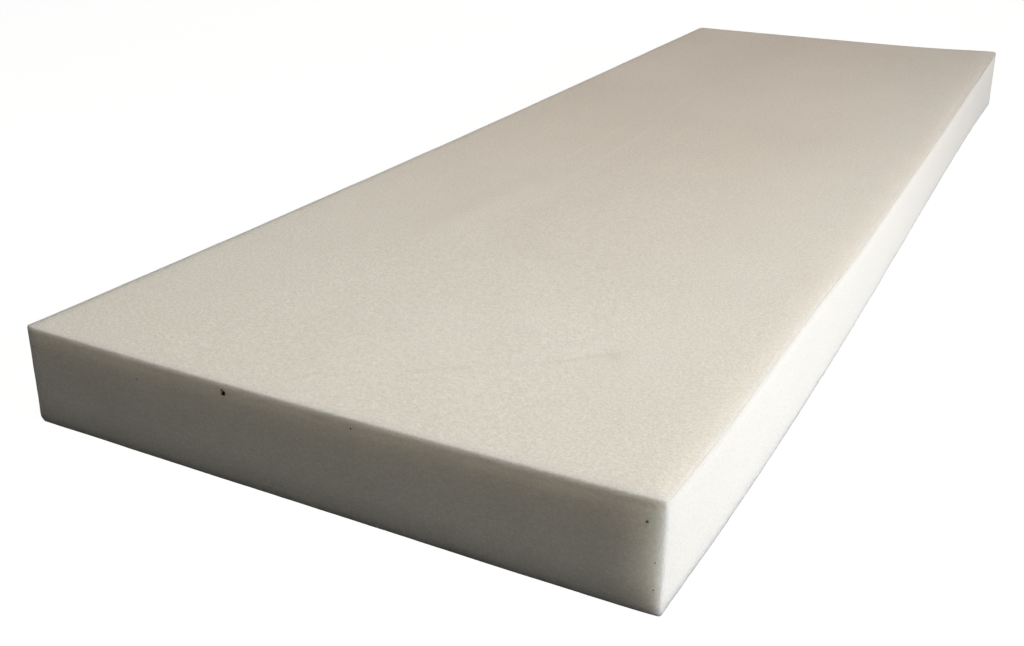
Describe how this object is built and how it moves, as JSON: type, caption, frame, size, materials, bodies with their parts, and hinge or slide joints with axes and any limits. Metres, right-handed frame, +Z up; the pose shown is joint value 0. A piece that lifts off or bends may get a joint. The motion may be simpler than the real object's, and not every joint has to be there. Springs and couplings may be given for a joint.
{
  "type": "foam sheet",
  "caption": "Thick rectangular slab of soft open-cell upholstery foam, cut square, for padding a seat, bench or mattress.",
  "frame": {"origin": "on the ground, at the middle of the sheet's plan box, under the slab's flat underside", "axes": "+Y along the sheet's length towards its far end, +X across its width towards the bulging side, +Z up through its thickness"},
  "size_m": [0.621, 1.83, 0.097],
  "materials": {
    "foam": "matt open-cell foam, knife cut, slightly grainy"
  },
  "bodies": {
    "root": {"foam_slab": "foam"}
  },
  "joints": []
}
